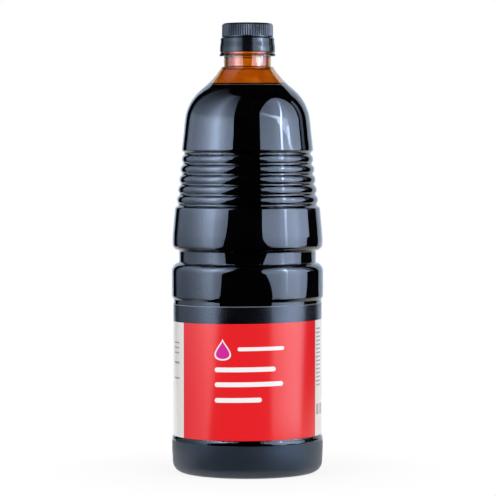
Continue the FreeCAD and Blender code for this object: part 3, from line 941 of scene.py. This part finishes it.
class SAUCEBOTTLE_OT_stage(bpy.types.Operator):
    """Pale floor, soft studio light and the camera"""

    bl_idname = "sauce_bottle.stage"
    bl_label = "Stage"

    def execute(self, context):
        scene = context.scene
        self.floor()
        self.world(scene)
        self.cards()
        self.lamps(scene)
        self.camera(scene)
        scene.view_settings.view_transform = "Standard"
        return {"FINISHED"}

    def lamps(self, scene):
        """Round soft lamps for the matt surfaces."""
        for name, azimuth, elevation, distance, size, power in LAMPS:
            lamp = bpy.data.lights.new(name, "AREA")
            lamp.shape, lamp.size, lamp.energy = "DISK", size, power
            fill = bpy.data.objects.new(name, lamp)
            fill.location = Vector(LAMP_TARGET) + towards(azimuth, elevation) * distance
            fill.rotation_euler = (-towards(azimuth, elevation)).to_track_quat("-Z", "Y").to_euler()
            fill.visible_glossy = False
            fill.visible_transmission = False
            scene.collection.objects.link(fill)

    def camera(self, scene):
        """Long lens in front of the label, tipped slightly down."""
        lens = bpy.data.cameras.new("camera")
        lens.lens, lens.sensor_width = CAMERA_LENS, 36.0
        lens.clip_start, lens.clip_end = 0.05, 50.0
        camera = bpy.data.objects.new("camera", lens)
        camera.location = CAMERA_PLACE
        camera.rotation_euler = (math.radians(90 - CAMERA_TILT), 0, 0)
        scene.collection.objects.link(camera)
        scene.camera = camera

    def seen(self, tree):
        """1 for camera, glossy and transmission rays."""
        path = node(tree, "ShaderNodeLightPath")
        both = calc(tree, "MAXIMUM", path.outputs["Is Camera Ray"], path.outputs["Is Glossy Ray"])
        return calc(tree, "MAXIMUM", both, path.outputs["Is Transmission Ray"])

    def floor(self):
        """Pale floor that shows white, a shade darker under the bottle: there its glow is lowered, painted shade added
        to its real shadow.
        """
        bm = bmesh.new()
        bmesh.ops.create_grid(bm, x_segments=1, y_segments=1, size=1.0)
        for vert in bm.verts:
            vert.co = (vert.co.x * 0.45, 6.0 if vert.co.y > 0 else -0.14, -0.0002)
        mesh = bpy.data.meshes.new("floor")
        bm.to_mesh(mesh)
        bm.free()
        floor = bpy.data.objects.new("floor", mesh)
        bpy.context.scene.collection.objects.link(floor)
        material = bpy.data.materials.new("floor")
        material.use_nodes = True
        tree = material.node_tree
        tree.nodes.clear()
        pale = node(tree, "ShaderNodeBsdfDiffuse", in_Color=(0.7, 0.7, 0.7, 1.0))
        glow = node(tree, "ShaderNodeEmission", in_Color=(1.0, 1.0, 1.0, 1.0), in_Strength=1.0)
        place = node(tree, "ShaderNodeTexCoord").outputs["Object"]
        away = node(tree, "ShaderNodeVectorMath", operation="LENGTH", in_0=place).outputs["Value"]
        # less glow under the bottle: painted shade around the real shadow
        plain = from_to(tree, away, *SHADE_RADII, interpolation_type="SMOOTHSTEP", in_3=FLOOR_SHADE, in_4=1.0)
        share = calc(tree, "MULTIPLY", self.seen(tree), plain)
        mix = node(tree, "ShaderNodeMixShader", in_0=share, in_1=pale.outputs[0], in_2=glow.outputs[0])
        node(tree, "ShaderNodeOutputMaterial", in_0=mix.outputs[0])
        mesh.materials.append(material)

    def world(self, scene):
        """White all round for the camera, and a plain level of light for the bottle."""
        world = bpy.data.worlds.new("studio")
        scene.world = world
        world.use_nodes = True
        tree = world.node_tree
        tree.nodes.clear()
        ambient = node(tree, "ShaderNodeBackground", in_0=(1.0, 1.0, 1.0, 1.0), in_1=AMBIENT)
        glossy = node(tree, "ShaderNodeLightPath").outputs["Is Glossy Ray"]
        tint = blend_colour(tree, glossy, (1.0, 1.0, 1.0), (0.84, 1.0, 1.22))
        backdrop = node(tree, "ShaderNodeBackground", in_0=tint, in_1=1.0)
        mix = node(tree, "ShaderNodeMixShader", in_0=self.seen(tree), in_1=ambient.outputs[0], in_2=backdrop.outputs[0])
        node(tree, "ShaderNodeOutputWorld", in_0=mix.outputs[0])

    def cards(self):
        """Dark drape round the front, a near softbox on the left and a farther one on the right, with their creases."""
        dark = light_card("drape", (0.6, 0.9, 1.4), strength=0.006)

        def drape(u, v):
            around = -154 + 292 * u
            return around, -3.0 + 9.0 * v, 3.2

        def drape_roof(u, v):
            return 138 + 68 * u, 2.4 + 3.0 * v, 3.1 - 3.0 * v

        def drape_table(u, v):
            return -90 + 180 * u, 0.0006, 0.058 + 0.9 * v

        top = bmesh.new()
        bmesh.ops.create_circle(top, cap_ends=True, segments=96, radius=3.3)
        bmesh.ops.translate(top, verts=top.verts, vec=(0.0, 0.0, 5.9))
        hang_card(top, "drape_top", dark)
        studio_card("drape", drape, dark)
        studio_card("drape_roof", drape_roof, dark)
        studio_card("drape_table", drape_table, dark)

        def left_softbox(u, v):
            """Widest at the shoulder, narrower beside the label."""
            height = CARD_FOOT + 0.648 * v
            inner = -26 - 13.5 * part_of(0.25 - height, 0.12) ** 1.4 - 22 * max(0.0, (0.12 - height) / 0.1)
            return -141 + (inner + 141) * u, height, LEFT_DISTANCE

        studio_card("left_softbox", left_softbox, light_card("left_softbox", COOL, LEFT_ACROSS, LEFT_UP))

        def right_softbox(u, v):
            """Narrower beside the label, with an arched top."""
            height = CARD_FOOT + 0.62 * v
            inner = 23 + 15 * part_of(0.276 - height, 0.15) ** 1.5
            outer = 110 - 8 * max(0.0, (height - 0.45) / 0.14) ** 2
            outer -= 7.5 * part_of(0.197 - height, 0.016) + 10 * max(0.0, (0.125 - height) / 0.1)
            azimuth = inner + (outer - inner) * u
            top = 0.675 - (0.19 * ((azimuth - 76) / 42) ** 2 if azimuth < 76 else 0.141 * ((azimuth - 76) / 34) ** 2)
            return azimuth, CARD_FOOT + (top - CARD_FOOT) * v, RIGHT_DISTANCE

        studio_card("right_softbox", right_softbox, light_card("right_softbox", COOL, RIGHT_ACROSS, RIGHT_UP))

        def upright_crease(u, v):
            height = 0.1 + 0.5 * v
            azimuth = 62 + 2.6 * part_of(height - 0.21, 0.04) + 72 * max(0.0, height - 0.285)
            return azimuth + 4 * (u - 0.5), height, CREASE_DISTANCE

        def side_crease(u, v):
            height = 0.24 + 0.05 * v
            azimuth = 80.5 + 14 * max(0.0, (0.262 - height) / 0.022) ** 2
            return azimuth + 6 * (u - 0.5), height, CREASE_DISTANCE

        def level_crease(u, v):
            azimuth = 26 + 56 * u
            return azimuth, 0.366 - 0.00157 * (azimuth - 27) + 0.03 * (v - 0.5), CREASE_DISTANCE

        def far_edge(u, v):
            return 112 + 12 * u, 0.24 + 0.4 * v, FAR_DISTANCE

        for name, place, across, up in (
            ("far_edge", far_edge, [(112, 0.0), (119, 1.0), (124, 0.0)], [(0.24, 0.5), (0.64, 1.1)]),
            ("upright_crease", upright_crease, [(59, 1.0), (90, 1.0)], UPRIGHT_UP),
            ("side_crease", side_crease, [(75, 1.0), (98, 1.0)], SIDE_UP),
            ("level_crease", level_crease, LEVEL_ACROSS, [(0.26, 1.0), (0.39, 1.0)]),
        ):
            studio_card(name, place, light_card(name, COOL, across, up, adds=True))


# ---------------------------------------------------------------- panel and start


class SAUCEBOTTLE_PT_panel(bpy.types.Panel):
    """Sizes, colours and pieces of the sauce bottle"""

    bl_idname = "SAUCEBOTTLE_PT_panel"
    bl_label = "Sauce Bottle"
    bl_space_type = "VIEW_3D"
    bl_region_type = "UI"
    bl_category = "Sauce Bottle"

    def draw(self, context):
        layout = self.layout
        for group in (context.scene.sauce_bottle_sizes, context.scene.sauce_bottle_colours):
            column = layout.column(align=True)
            for name in group.bl_rna.properties.keys():
                if name not in {"rna_type", "name"}:
                    column.prop(group, name)
        column = layout.column(align=True)
        for operator in STEPS:
            column.operator(operator.bl_idname)


STEPS = (
    SAUCEBOTTLE_OT_stage,
    SAUCEBOTTLE_OT_shell,
    SAUCEBOTTLE_OT_sauce,
    SAUCEBOTTLE_OT_film,
    SAUCEBOTTLE_OT_label,
    SAUCEBOTTLE_OT_collar,
    SAUCEBOTTLE_OT_cap,
)
CLASSES = (SauceBottleSizes, SauceBottleColours) + STEPS + (SAUCEBOTTLE_PT_panel,)


def register():
    for cls in CLASSES:
        bpy.utils.register_class(cls)
    bpy.types.Scene.sauce_bottle_sizes = PointerProperty(type=SauceBottleSizes)
    bpy.types.Scene.sauce_bottle_colours = PointerProperty(type=SauceBottleColours)


def unregister():
    del bpy.types.Scene.sauce_bottle_colours
    del bpy.types.Scene.sauce_bottle_sizes
    for cls in reversed(CLASSES):
        bpy.utils.unregister_class(cls)


def main():
    """Builds every piece."""
    register()
    bpy.ops.sauce_bottle.stage()
    bpy.ops.sauce_bottle.shell()
    bpy.ops.sauce_bottle.sauce()
    bpy.ops.sauce_bottle.film()
    bpy.ops.sauce_bottle.label()
    bpy.ops.sauce_bottle.collar()
    bpy.ops.sauce_bottle.cap()


if __name__ == "__main__":
    main()
